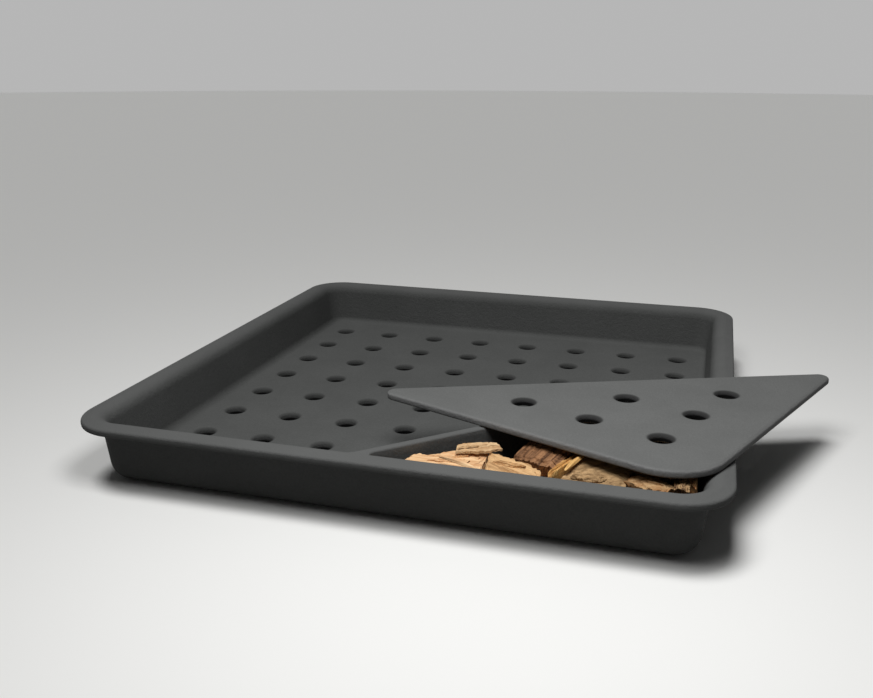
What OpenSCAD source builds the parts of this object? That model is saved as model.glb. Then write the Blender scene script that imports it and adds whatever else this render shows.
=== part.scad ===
// Cast iron smoker tray with a perforated charcoal floor, a triangular chip pocket and its loose lid.
// Millimetres, +Z up. The origin lies on the base, under the middle of the rim.
// The front is -Y and the chip pocket is in the front right corner.

/* [Tray] */
// Width over the rim, along X
tray_w = 361; // [260:1:500]
// Depth over the rim, along Y
tray_d = 374; // [260:1:500]
// Height from the base to the top of the rim
tray_h = 40; // [32:0.5:80]
// Radius of the outer corners of the rim in plan
corner_r = 28.5; // [26:0.5:50]
// Radius of the corners of the flat floor in plan
inside_r = 6; // [1:0.5:20]
// Thickness of the side walls
wall_t = 4; // [3:0.25:8]
// Slope of the walls from the vertical, in degrees
wall_draft = 7; // [2:0.5:12]
// Thickness of the floor
floor_t = 7.5; // [4:0.25:14]
// Rounding between the floor and the walls, and at the foot of the divider
floor_fillet = 4.5; // [2:0.25:8]
// Rounding of the outer lower edge
heel_r = 12; // [2:0.25:14]

/* [Rim] */
// How far the lip stands out from the outer wall, measured at the height of the crest
lip_out = 10.25; // [9:0.25:14]
// Thickness of the lip at its edge
lip_t = 4.5; // [3.5:0.1:6]
// Fall of the lip's upper face towards its edge, in degrees
lip_slope = 12; // [2:0.5:20]
// Rounding of the lip's upper and lower edge
lip_edge_r = 1.6; // [0.5:0.1:1.7]
// Flat width of the crest between the lip and the inner roll
crest_w = 0.7; // [0.5:0.1:3]
// Radius of the inner roll, from the crest down to the wall
roll_r = 8.5; // [5:0.25:9.5]

/* [Vent holes] */
// Diameter of a vent hole in the floor, at its upper end
hole_d = 12.4; // [8:0.1:20]
// Slope of the sides of every vent hole from the vertical, in degrees
hole_taper = 10; // [1:0.5:12]
// Radius of the rounded upper edge of every vent hole
hole_round = 2.2; // [0.5:0.1:2.4]
// Distance between neighbouring holes in the floor
hole_pitch = 40; // [25:0.5:70]
// Number of holes along each side of the pattern
hole_count = 8; // [2:1:14]
// Middle of the pattern, to the right of the middle of the tray
hole_shift_x = 1; // [-10:0.5:10]
// Middle of the pattern, behind the middle of the tray
hole_shift_y = -4; // [-10:0.5:10]
// Least distance from the middle of a hole to the end of the flat floor
hole_margin = 16; // [10:0.5:30]

/* [Chip pocket] */
// Distance from the sharp corner of the rim to the divider, along the front and along the right side
pocket_reach = 197.5; // [150:0.5:240]
// Thickness of the divider at its top
divider_t = 5; // [3:0.25:10]
// Rounding of the upper edges of the divider
divider_edge_r = 1.2; // [0.5:0.1:1.4]
// Slope of the sides of the divider from the vertical, in degrees
divider_draft = 3; // [1:0.5:6]
// Radius of the two narrow ends of the pocket in plan
pocket_tip_r = 4.5; // [3:0.5:15]
// Radius of the flares of the divider towards the charcoal floor in plan
flare_r = 22; // [5:0.5:40]

/* [Lid] */
// Thickness of the lid
lid_t = 4.5; // [3:0.25:8]
// Distance of the closed lid from the outer edge of the rim
lid_inset = 2; // [0.5:0.25:5]
// How far the closed lid reaches past the top of the divider
lid_overlap = 9; // [4:0.25:15]
// Radius of the right-angled corner of the lid
lid_corner_r = 30; // [10:0.5:45]
// Radius of the two pointed corners of the lid
lid_tip_r = 5.5; // [3:0.25:15]
// Diameter of a vent hole in the lid, at its upper end
lid_hole_d = 12.4; // [8:0.1:18]
// Distance between neighbouring holes in the lid
lid_hole_pitch = 43; // [25:0.5:50]
// Distance of the outer holes from the two short sides of the lid
lid_hole_inset = 37.5; // [20:0.5:45]
// Number of holes along each short side of the lid
lid_hole_rows = 3; // [1:1:3]
// Turn of the lid from its closed place, in degrees
lid_turn = -22.3; // [-30:0.1:30]
// Shift of the lid to the right from its closed place
lid_shift_x = 1.4; // [-5:0.1:20]
// Shift of the lid to the back from its closed place
lid_shift_y = 23.6; // [-2:0.1:40]
// Air between the lid and the rim
lid_gap = 0.3; // [0.2:0.05:0.9]

/* [Wood chips] */
// Free height above the upper full layer of chips, up to the top of the rim
chip_headroom = 5; // [4.5:0.5:12]
// Number of full layers of chips
chip_layers = 3; // [3:1:3]
// Air between chips that lie on each other and on the floor
chip_gap = 0.2; // [0.1:0.05:0.5]

/* [Hidden] */
$fn = 96;

// Amount by which a cut runs past a face
over = 1;
// Distance by which straight faces stop short of a rounding, and by which roundings pass a flat face
short = 0.5;
bite = 0.03;
function neat(v) = round(v * 100) / 100;
// Points of an outline mirrored across the Y axis, in reverse so that the outline keeps its turning sense
function mirrored(points) = [for (i = [len(points) - 1 : -1 : 0]) [-points[i][0], points[i][1]]];
// Slope of the walls as run over rise, and the length of a wall's thickness measured level
slope = tan(wall_draft);
level = 1 / cos(wall_draft);

// Distance of the outer and the inner wall face from the outer edge of the rim at height z
function wall_out(z) = lip_out + (tray_h - z) * slope;
function wall_in(z) = wall_out(z) + wall_t * level;

// Inner roll of the rim, which joins the crest and the drafted wall without an edge
roll_z = tray_h - roll_r;
roll_at = neat(wall_in(roll_z) - roll_r * level);

// Height of the lip's upper face over its edge roundings, of the upper one's middle and of the underside
lip_top = tray_h - (roll_at - crest_w - lip_edge_r) * tan(lip_slope);
lip_edge_z = neat(lip_top - lip_edge_r / cos(lip_slope));
lip_under = neat(lip_top - lip_t);

// Heel rounding, limited by the corner radius left at the base
heel_room = (corner_r - lip_out - tray_h * slope) / (level - slope);
heel = min(heel_r, heel_room - over);

// Corner middles of the outer body and of the hollow
out_x = tray_w / 2 - corner_r;
out_y = tray_d / 2 - corner_r;
fillet_z = floor_t + floor_fillet;
flat_at = wall_in(fillet_z) + floor_fillet * level;
in_at = neat(flat_at + inside_r);
in_x = tray_w / 2 - in_at;
in_y = tray_d / 2 - in_at;
// Distance outward from the hollow's corner middles of a line that lies s inside the rim's outer edge
function hollow_d(s) = in_at - s;

// Divider
divider_slope = tan(divider_draft);
divider_level = 1 / cos(divider_draft);
divider_edge_z = tray_h - bite - divider_edge_r;
corner_x = tray_w / 2;
corner_y = -tray_d / 2;
divider_mid = [corner_x - pocket_reach / 2, corner_y + pocket_reach / 2];
divider_len = pocket_reach * sqrt(2);
// Half thickness of the divider at height z, and distance of the flat floor from its middle
function divider_half(z) = divider_t / 2 + (tray_h - z) * divider_slope;
foot_at = divider_half(fillet_z) + floor_fillet * divider_level;

// Lid
lid_leg = pocket_reach - 2 * lid_inset + lid_overlap * sqrt(2);
lid_tip_run = lid_tip_r / tan(22.5);

// Wood chips: depth of a layer
layer_t = (tray_h - floor_t - chip_headroom) / chip_layers;

// Outlines of chips in shares of their length and width
FLAKE = [[-0.5, -0.32], [-0.38, 0.36], [0.05, 0.5], [0.46, 0.38], [0.5, -0.28], [0.1, -0.5]];
SPLIT = [[-0.5, -0.5], [-0.42, 0.02], [-0.1, 0.42], [0.5, 0.5], [0.5, -0.1], [0.02, -0.5]];
BLOCK = [[-0.5, -0.46], [-0.46, 0.5], [0.5, 0.44], [0.46, -0.5]];
WEDGE = [[-0.5, -0.13], [-0.32, 0.2], [0.13, 0.49], [0.5, 0.5], [0.4, -0.5], [-0.04, -0.41]];
SHARD = [[-0.5, 0.5], [-0.1, 0.49], [0.36, 0.44], [0.5, -0.04], [-0.26, -0.5]];

// Name, outline, distance from the right and from the front edge of the rim, layer, turn, length, width
// and thickness. The load fills the pocket, so lengths are shares of its reach and thicknesses of a layer.
CHIPS = [
    ["chip_long", WEDGE, 0.737, 0.136, 2, 14, 0.217, 0.115, 1],
    ["chip_small", FLAKE, 0.666, 0.208, 3, 28, 0.116, 0.056, 0.42],
    ["chip_broad", SHARD, 0.558, 0.13, 2, -18, 0.177, 0.111, 1],
    ["chip_end_grain", BLOCK, 0.491, 0.246, 2, -17, 0.122, 0.086, 1.3],
    ["chip_sliver", SPLIT, 0.429, 0.185, 2, 70, 0.188, 0.025, 1.25],
    ["chip_grey", FLAKE, 0.339, 0.175, 2, -10, 0.147, 0.157, 1.1],
    ["chip_tan", FLAKE, 0.205, 0.142, 2, -35, 0.111, 0.071, 1.2],
    ["chip_striped", BLOCK, 0.128, 0.144, 2, 90, 0.076, 0.034, 1.3],
    ["chip_orange", FLAKE, 0.1, 0.172, 2, 90, 0.06, 0.019, 1.3],
    ["chip_covered_front", SPLIT, 0.347, 0.37, 2, -40, 0.192, 0.101, 1],
    ["chip_covered_right", BLOCK, 0.159, 0.339, 2, 20, 0.111, 0.081, 1],
    ["chip_covered_back", FLAKE, 0.215, 0.501, 2, 50, 0.192, 0.091, 1],
    ["chip_middle_1", SPLIT, 0.666, 0.162, 1, 0, 0.253, 0.091, 1],
    ["chip_middle_2", BLOCK, 0.433, 0.177, 1, 15, 0.172, 0.122, 1],
    ["chip_middle_3", FLAKE, 0.208, 0.172, 1, -12, 0.223, 0.111, 1],
    ["chip_middle_4", BLOCK, 0.484, 0.334, 1, -45, 0.152, 0.101, 1],
    ["chip_middle_5", FLAKE, 0.281, 0.349, 1, 10, 0.203, 0.111, 1],
    ["chip_middle_6", BLOCK, 0.132, 0.329, 1, 85, 0.142, 0.061, 1],
    ["chip_middle_7", BLOCK, 0.195, 0.522, 1, 48, 0.182, 0.101, 1],
    ["chip_lower_1", SPLIT, 0.6, 0.17, 0, 0, 0.203, 0.091, 1],
    ["chip_lower_2", BLOCK, 0.387, 0.18, 0, 5, 0.182, 0.101, 1],
    ["chip_lower_3", FLAKE, 0.2, 0.18, 0, -8, 0.162, 0.101, 1],
    ["chip_lower_4", FLAKE, 0.448, 0.319, 0, -30, 0.182, 0.101, 1],
    ["chip_lower_5", BLOCK, 0.246, 0.329, 0, 12, 0.172, 0.091, 1],
    ["chip_lower_6", SPLIT, 0.2, 0.491, 0, 50, 0.172, 0.101, 1],
    ["chip_lower_7", BLOCK, 0.132, 0.304, 0, 90, 0.122, 0.035, 1]
];

// Outward side of a rounding in a section, with its middle at distance x and height z
module rounding(x, z, r) {
    intersection() {
        translate([x, z]) circle(r = r);
        translate([x - 1.5 * short, z - 2 * r]) square(4 * r);
    }
}

// Section of the outer body: distance outward from the corner middles, and height
module outer_section() {
    heel_at = corner_r - wall_out(heel) - heel * level;
    heel_end = heel - heel * sin(wall_draft) + short;
    lip_at = corner_r - lip_edge_r;
    rounding(heel_at, heel, heel);
    rounding(lip_at, lip_edge_z, lip_edge_r);
    rounding(lip_at, lip_under + lip_edge_r, lip_edge_r);
    polygon([
        [0, 0],
        [heel_at - short, 0],
        [heel_at, heel],
        [corner_r - wall_out(heel_end), heel_end],
        [corner_r - wall_out(lip_under), lip_under],
        [lip_at - short, lip_under],
        [lip_at, lip_under + lip_edge_r],
        [corner_r - bite, lip_under + lip_edge_r],
        [corner_r - bite, lip_edge_z],
        [lip_at, lip_edge_z],
        [lip_at, lip_top],
        [corner_r - roll_at + crest_w, tray_h],
        [0, tray_h]
    ]);
}

// Section of the hollow: a rounded foot, a drafted wall and the roll up to the crest
module hollow_section() {
    fillet_at = hollow_d(flat_at);
    fillet_end = fillet_z - floor_fillet * sin(wall_draft) + short;
    roll_end = roll_z + roll_r * sin(wall_draft) - short;
    difference() {
        union() {
            rounding(fillet_at, fillet_z, floor_fillet);
            polygon([
                [0, floor_t],
                [fillet_at - short, floor_t],
                [fillet_at, fillet_z],
                [hollow_d(wall_in(fillet_end)), fillet_end],
                [hollow_d(wall_in(roll_end)), roll_end],
                [hollow_d(roll_at), roll_z],
                [hollow_d(roll_at), tray_h + over],
                [0, tray_h + over]
            ]);
        }
        translate([hollow_d(roll_at), roll_z + bite]) circle(r = roll_r);
    }
}

// Carries a section round a rectangle with the corner middles at +-mid_x, +-mid_y and fills it
module swept(mid_x, mid_y, low, high) {
    for (c = [[1, 1, 0], [-1, 1, 90], [-1, -1, 180], [1, -1, 270]])
        translate([c[0] * mid_x, c[1] * mid_y, 0]) rotate(c[2]) rotate_extrude(angle = 90) children();
    for (s = [[0, mid_x, mid_y], [90, mid_y, mid_x], [180, mid_x, mid_y], [270, mid_y, mid_x]])
        rotate(s[0]) translate([-s[1], s[2], 0])
            rotate([90, 0, 90]) linear_extrude(2 * s[1]) children();
    translate([-mid_x, -mid_y, low]) cube([2 * mid_x, 2 * mid_y, high - low]);
}

module outer_body() {
    swept(out_x, out_y, 0, tray_h) outer_section();
}

module hollow() {
    swept(in_x, in_y, floor_t, tray_h + over) hollow_section();
}

// Body that ends in the middle of the walls and of the crest, so that the divider joins them inside
module wall_middle() {
    low = floor_t - over;
    swept(in_x, in_y, low, tray_h) polygon([
        [0, low],
        [hollow_d(wall_in(low) - wall_t / 2), low],
        [hollow_d(wall_in(lip_under) - wall_t / 2), lip_under],
        [hollow_d(roll_at - crest_w / 2), tray_h],
        [0, tray_h]
    ]);
}

// Section of the divider: flat top with rounded edges, drafted sides and filleted foot
module divider_section() {
    edge_at = divider_half(divider_edge_z) - (divider_edge_r - bite) * divider_level;
    reach = floor_fillet + over;
    low = floor_t - over;
    for (m = [1, -1]) translate([m * edge_at, divider_edge_z]) circle(r = divider_edge_r);
    polygon([
        [-divider_half(low), low],
        [divider_half(low), low],
        [divider_half(divider_edge_z), divider_edge_z],
        [edge_at, divider_edge_z],
        [edge_at, tray_h - 2 * bite],
        [-edge_at, tray_h - 2 * bite],
        [-edge_at, divider_edge_z],
        [-divider_half(divider_edge_z), divider_edge_z]
    ]);
    foot = [
        [0, low],
        [foot_at, low],
        [foot_at, fillet_z],
        [foot_at - reach * cos(divider_draft), fillet_z + reach * sin(divider_draft)],
        [0, fillet_z + reach * sin(divider_draft)]
    ];
    for (m = [1, -1]) difference() {
        polygon(m > 0 ? foot : mirrored(foot));
        translate([m * foot_at, fillet_z - bite]) circle(r = floor_fillet);
    }
}

// Plan of one flare of the divider, which starts at the crest; side is 1 towards the charcoal and -1
// towards the chips, end is 1 at the front and -1 at the right
module flare_plan(r, side, end) {
    run = roll_at + r - pocket_reach / 2;
    off = divider_t / 2 - bite + r;
    middle = [run * sqrt(2) - side * off, side * off];
    rim = middle - (roll_at + r) / sqrt(2) * [1, 1];
    tip = [-divider_len / 2, 0];
    start = [middle[0], 0];
    plan = side > 0 ? [start, middle, rim, tip] : [start, tip, rim, middle];
    difference() {
        polygon(end > 0 ? plan : mirrored(plan));
        translate([end * middle[0], middle[1]]) circle(r = r);
    }
}

module divider() {
    intersection() {
        wall_middle();
        translate([divider_mid[0], divider_mid[1], 0]) rotate(45) {
            rotate([90, 0, 90]) linear_extrude(divider_len, center = true) divider_section();
            for (end = [1, -1], f = [[flare_r, 1], [pocket_tip_r, -1]])
                translate([0, 0, floor_t - 2 * over])
                    linear_extrude(tray_h - floor_t + 3 * over) flare_plan(f[0], f[1], end);
        }
    }
}

// Cutter of a tapered vent hole through a plate whose top is at height 0, with a rounded upper edge
module vent_cutter(d, depth) {
    function side(z) = d / 2 + z * tan(hole_taper);
    round_z = bite - hole_round;
    round_at = neat(side(round_z) + (hole_round - bite) / cos(hole_taper));
    low = -depth - over;
    rotate_extrude() difference() {
        translate([0, low]) square([round_at, depth + 2 * over]);
        polygon([
            [side(low - over), low - over],
            [round_at + over, low - over],
            [round_at + over, round_z],
            [side(round_z), round_z]
        ]);
        translate([round_at, round_z]) circle(r = hole_round);
    }
}

// Distance of a point from the end of the flat floor, towards the nearest wall and towards the divider
function to_wall(x, y) = min(tray_w / 2 - flat_at - abs(x), tray_d / 2 - flat_at - abs(y));
function to_divider(x, y) =
    ((divider_mid[0] - divider_mid[1]) - (x - y)) / sqrt(2) - foot_at;

module floor_holes() {
    first = -(hole_count - 1) / 2 * hole_pitch;
    for (i = [0 : hole_count - 1], j = [0 : hole_count - 1]) {
        x = hole_shift_x + first + i * hole_pitch;
        y = hole_shift_y + first + j * hole_pitch;
        if (min(to_wall(x, y), to_divider(x, y)) >= hole_margin)
            translate([x, y, floor_t]) vent_cutter(hole_d, floor_t);
    }
}

module tray() {
    color("dimgray") difference() {
        union() {
            difference() {
                outer_body();
                hollow();
            }
            divider();
        }
        floor_holes();
    }
}

// Plan of the lid with its right-angled corner at the origin, legs along -X and +Y
module lid_plan() {
    left = [-lid_leg + lid_tip_run, lid_tip_r];
    back = [-lid_tip_r, lid_leg - lid_tip_run];
    corner = [-lid_corner_r, lid_corner_r];
    out = lid_tip_r / sqrt(2) * [-1, 1];
    along = short / sqrt(2) * [1, 1];
    translate(left) circle(r = lid_tip_r);
    translate(back) circle(r = lid_tip_r);
    translate(corner) circle(r = lid_corner_r);
    polygon([
        corner,
        [0, corner[1] + short],
        [0, back[1] - short],
        back,
        back + out - along,
        left + out + along,
        left,
        [left[0] + short, 0],
        [corner[0] - short, 0]
    ]);
}

module lid() {
    hole_x = corner_x - lid_inset - lid_hole_inset;
    hole_y = corner_y + lid_inset + lid_hole_inset;
    color("gray")
        translate([hole_x + lid_shift_x, hole_y + lid_shift_y, tray_h + lid_gap]) rotate(lid_turn)
            translate([lid_hole_inset, -lid_hole_inset, 0]) difference() {
                linear_extrude(lid_t) lid_plan();
                for (i = [0 : lid_hole_rows - 1], j = [0 : lid_hole_rows - 1 - i])
                    translate([
                        -lid_hole_inset - i * lid_hole_pitch,
                        lid_hole_inset + j * lid_hole_pitch,
                        lid_t
                    ]) vent_cutter(lid_hole_d, lid_t);
            }
}

// One wood chip from its row in the list, lying flat in its layer
module chip(row) {
    size = [row[6], row[7]] * pocket_reach;
    base = floor_t + row[4] * layer_t + chip_gap;
    color("burlywood")
        translate([corner_x - row[2] * pocket_reach, corner_y + row[3] * pocket_reach, base]) rotate(row[5])
            linear_extrude(layer_t * row[8] - chip_gap)
                polygon([for (p = row[1]) [p[0] * size[0], p[1] * size[1]]]);
}

tray();
lid();
for (row = CHIPS) chip(row);
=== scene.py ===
import math

import bmesh
import bpy
import numpy as np
from bpy.props import FloatProperty, FloatVectorProperty, IntProperty, PointerProperty
from mathutils import Matrix, Vector
from mathutils.geometry import tessellate_polygon


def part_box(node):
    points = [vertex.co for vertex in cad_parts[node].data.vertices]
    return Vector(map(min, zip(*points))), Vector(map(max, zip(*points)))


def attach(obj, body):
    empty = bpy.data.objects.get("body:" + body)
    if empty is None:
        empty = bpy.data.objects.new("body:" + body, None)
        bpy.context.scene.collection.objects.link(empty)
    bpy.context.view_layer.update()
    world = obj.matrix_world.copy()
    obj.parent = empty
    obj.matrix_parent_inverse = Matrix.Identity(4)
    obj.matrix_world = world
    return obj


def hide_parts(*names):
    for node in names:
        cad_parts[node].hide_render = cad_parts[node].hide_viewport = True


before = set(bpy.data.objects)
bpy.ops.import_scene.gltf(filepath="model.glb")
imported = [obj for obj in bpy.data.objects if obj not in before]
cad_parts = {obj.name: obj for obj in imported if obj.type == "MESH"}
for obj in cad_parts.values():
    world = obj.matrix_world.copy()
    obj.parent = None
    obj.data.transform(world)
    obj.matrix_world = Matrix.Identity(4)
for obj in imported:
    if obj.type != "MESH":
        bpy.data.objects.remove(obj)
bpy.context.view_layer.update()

bl_info = {
    "name": "Cast iron smoker tray",
    "version": (1, 0, 0),
    "blender": (4, 5, 0),
    "location": "View3D > Sidebar > Smoker tray",
    "description": "Builds a cast iron smoker tray, its lid and its load of wood chips",
    "category": "Add Mesh",
}

TRAY_LOW, TRAY_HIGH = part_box("tray")
LID_LOW, LID_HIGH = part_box("lid")
TRAY_SPAN = [1000 * (high - low) for low, high in zip(TRAY_LOW, TRAY_HIGH)]
LID_THICK = 1000 * (LID_HIGH.z - LID_LOW.z)
ROOT2 = math.sqrt(2.0)
HALF_PI = math.pi / 2


# Properties


def length(name, description, mm, low=0.0, high=500.0):
    """A length whose default and limits are given in millimetres."""
    return FloatProperty(name=name, description=description, default=mm / 1000, min=low / 1000,
                         max=high / 1000, unit="LENGTH", precision=5)


def slope(name, description, degrees):
    """An angle whose default is given in degrees."""
    return FloatProperty(name=name, description=description, default=math.radians(degrees), subtype="ANGLE")


def share(name, description, default, high=1.0):
    """A plain number from 0 up to high."""
    return FloatProperty(name=name, description=description, default=default, min=0.0, max=high)


def whole(name, description, default):
    """A whole number from 1 up."""
    return IntProperty(name=name, description=description, default=default, min=1)


def triple(name, description, default, subtype="TRANSLATION"):
    """A place in metres, or a direction."""
    return FloatVectorProperty(name=name, description=description, size=3, default=default, subtype=subtype)


def colour(name, description, srgb):
    """A colour whose default is given in 8-bit display values and kept as linear light."""
    c = np.array(srgb) / 255
    linear = np.where(c <= 0.04045, c / 12.92, ((c + 0.055) / 1.055) ** 2.4)
    return FloatVectorProperty(name=name, description=description, subtype="COLOR", size=3, min=0.0, max=1.0,
                               default=tuple(float(v) for v in linear))


class TraySizes(bpy.types.PropertyGroup):
    """Sizes of the tray casting."""

    width: length("Width", "Width over the rim", TRAY_SPAN[0])
    depth: length("Depth", "Depth over the rim", TRAY_SPAN[1])
    height: length("Height", "Height from the base to the crest of the rim", TRAY_SPAN[2])
    wall: length("Wall", "Thickness of the side walls", 4)
    draft: slope("Draft", "Slope of the walls from the vertical", 7)
    floor: length("Floor", "Thickness of the floor", 7.5)
    fillet: length("Fillet", "Rounding between floor and walls, and at the foot of the divider", 4.5)
    inside: length("Inside corner", "Corner radius of the flat floor in plan", 6)
    heel: length("Heel", "Rounding of the outer lower edge", 12)
    lip_out: length("Lip overhang", "How far the lip stands out from the wall, at the crest's height", 10.25)
    lip: length("Lip", "Thickness of the lip at its edge", 4.5)
    lip_fall: slope("Lip fall", "Fall of the lip's upper face towards its edge", 12)
    lip_edge: length("Lip edge", "Rounding of the lip's upper and lower edge", 1.6)
    crest: length("Crest", "Flat width of the crest of the rim", 0.7)
    roll: length("Roll", "Radius of the rim's inner roll", 8.5)
    armpit: length("Armpit", "Rounding between the lip's underside and the outer wall", 2)
    hole: length("Vent hole", "Diameter of a vent hole at its upper end", 12.4)
    hole_taper: slope("Hole taper", "Slope of a vent hole's side from the vertical", 10)
    hole_round: length("Hole edge", "Rounding of the upper edge of a vent hole", 2.2)
    hole_under: length("Hole lower edge", "Rounding of the lower edge of a vent hole", 0.6)
    pitch: length("Pitch", "Distance between neighbouring vent holes", 40)
    count: whole("Holes a side", "Vent holes along each side of the pattern", 8)
    shift_x: length("Shift X", "Middle of the hole pattern, to the right", 1, -50)
    shift_y: length("Shift Y", "Middle of the hole pattern, to the back", -4, -50)
    margin: length("Margin", "Least distance from a hole's middle to the end of the flat floor", 16)


class DividerSizes(bpy.types.PropertyGroup):
    """Sizes of the diagonal divider of the chip pocket."""

    reach: length("Reach", "Distance of the divider from the sharp rim corner, along each side", 197.5)
    thick: length("Thickness", "Thickness at the top", 5)
    edge: length("Upper edge", "Rounding of the upper edges", 1.2)
    draft: slope("Draft", "Slope of its sides from the vertical", 3)
    flare: length("Flare", "Plan radius towards the charcoal floor", 22)
    tip: length("Pocket tip", "Plan radius of the two narrow ends of the pocket", 4.5)
    fade: length("Fade", "Length of the ends that are buried in the rim", 8)


class LidSizes(bpy.types.PropertyGroup):
    """Sizes of the loose lid."""

    thick: length("Thickness", "Thickness of the lid", LID_THICK)
    inset: length("Inset", "Distance of the closed lid from the outer edge of the rim", 2)
    overlap: length("Overlap", "How far the closed lid reaches past the divider", 9)
    corner: length("Corner", "Radius of the right-angled corner", 30)
    tip: length("Tip", "Radius of the two pointed corners", 5.5)
    hole: length("Vent hole", "Diameter of a vent hole at its upper end", 12.4)
    pitch: length("Pitch", "Distance between neighbouring vent holes", 43)
    hole_inset: length("Hole inset", "Distance of the outer holes from the short sides", 37.5)
    rows: whole("Rows", "Vent holes along each short side", 3)
    edge: length("Upper edge", "Rounding of the upper edge", 1.8)
    under: length("Lower edge", "Rounding of the lower edge", 1.0)
    turn: slope("Turn", "Turn of the lid from its closed place", -22.3)
    shift_x: length("Shift X", "Shift from the closed place, to the right", 1.4, -50)
    shift_y: length("Shift Y", "Shift from the closed place, to the back", 23.6, -50)


class ChipSizes(bpy.types.PropertyGroup):
    """Form of the split wood chips."""

    splinter: length("Splinter", "Most that single fibres fall short at a chip's ends", 4)
    relief: length("Relief", "Depth of the fibre ridges on a split face", 0.9)
    terrace: length("Terrace", "Depth of the torn steps in a split face", 1.6)
    seed: whole("Seed", "Start of the random draws", 7)


class Finishes(bpy.types.PropertyGroup):
    """Colours of the iron and of the woods."""

    iron: colour("Iron", "Sand-cast iron", (94, 95, 94))
    iron_dark: colour("Iron, dark", "Darker mottles of the iron", (79, 80, 79))
    # Painted light: the lid's iron is a lighter copy of the tray's, so that the lid shows as if more strongly
    # lit
    lid: colour("Lid iron", "Sand-cast iron of the lid", (111, 112, 111))
    lid_dark: colour("Lid iron, dark", "Darker mottles of the lid", (95, 96, 95))
    # Painted highlight and rubbing: lighter iron along the rim's top, the heel and the lid's edge faces
    iron_rub_and_sheen: colour("Iron, rubbed", "Iron where edges are rubbed", (150, 150, 150))
    # Painted shade: near black for the unlit depths of the vent holes
    painted_hole_shade: colour("Soot", "Soot in the vent holes", (14, 14, 14))
    pale: colour("Pale wood", "Fresh split wood", (242, 206, 160))
    pale_dark: colour("Pale wood, dark", "Darker fibres of pale wood", (188, 130, 82))
    cream: colour("Cream wood", "Dry outer wood", (226, 194, 150))
    cream_dark: colour("Cream wood, dark", "Darker fibres of outer wood", (162, 118, 76))
    tan: colour("Tan wood", "Weathered split wood", (222, 182, 132))
    tan_dark: colour("Tan wood, dark", "Darker fibres of tan wood", (146, 102, 62))
    brown: colour("Brown wood", "Sawn heartwood", (160, 116, 80))
    brown_dark: colour("Brown wood, dark", "Darker fibres of heartwood", (66, 40, 24))
    # Partly the greyed wood's own colour, partly painted shade: darkened for the chips that lie in shade
    grey: colour("Grey wood", "Greyed wood with bark dust", (186, 153, 111))
    grey_dark: colour("Grey wood, dark", "Darker fibres of greyed wood", (88, 63, 36))
    yellow: colour("Yellow wood", "Resinous sapwood", (242, 198, 126))
    yellow_dark: colour("Yellow wood, dark", "Darker fibres of sapwood", (160, 102, 46))
    # Painted light: the inner bark's colours are kept light, so that the chip in the lid's shadow shows as if
    # lit
    orange: colour("Orange wood", "Inner bark", (248, 202, 144))
    orange_dark: colour("Orange wood, dark", "Darker fibres of inner bark", (172, 120, 74))


class StageSettings(bpy.types.PropertyGroup):
    """Floor, light and camera."""

    ground: colour("Floor", "Pale floor", (240, 240, 238))
    bounce: colour("Floor bounce", "Floor as the light that it throws back sees it", (146, 146, 145))
    # Painted shadow: the floor's colour under the tray, and the share of the tray's width and depth it covers
    under: colour("Floor under the tray", "Floor that the casting shuts off from the light", (8, 8, 8))
    covered: share("Covered floor", "Share of the tray's width and depth where the floor is dark", 0.83)
    sky: share("Room light", "Level of the even light of the room", 0.045, 5.0)
    backdrop: share("Backdrop", "Level of the room where it is seen", 0.47)
    ceiling: share("Ceiling light", "Even light from above", 1.36, 10.0)
    softness: slope("Softness", "Angle over which the ceiling light spreads", 20)
    towards: triple("Ceiling light from", "Direction towards the ceiling light", (-0.17, -0.07, 0.98),
                    "DIRECTION")
    key: FloatProperty(name="Key light", description="Soft light before the lid", default=1.2, unit="POWER")
    key_place: triple("Key light place", "Middle of the key light", (0.08, -0.27, 0.42))
    key_target: triple("Key light target", "Place that the key light looks at", (0.1, -0.1, 0.03))
    key_size: length("Key light size", "Side of the key light's square", 200)
    lens: FloatProperty(name="Lens", description="Focal length", default=38.655, unit="CAMERA")


class SmokerTraySettings(bpy.types.PropertyGroup):
    """All settings of the smoker tray."""

    tray: PointerProperty(type=TraySizes)
    divider: PointerProperty(type=DividerSizes)
    lid: PointerProperty(type=LidSizes)
    chips: PointerProperty(type=ChipSizes)
    finish: PointerProperty(type=Finishes)
    stage: PointerProperty(type=StageSettings)


# Meshes


# Points closer than this are merged, in the castings and in the finer meshes
WELD = 2e-6
FINE_WELD = 1e-7


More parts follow.
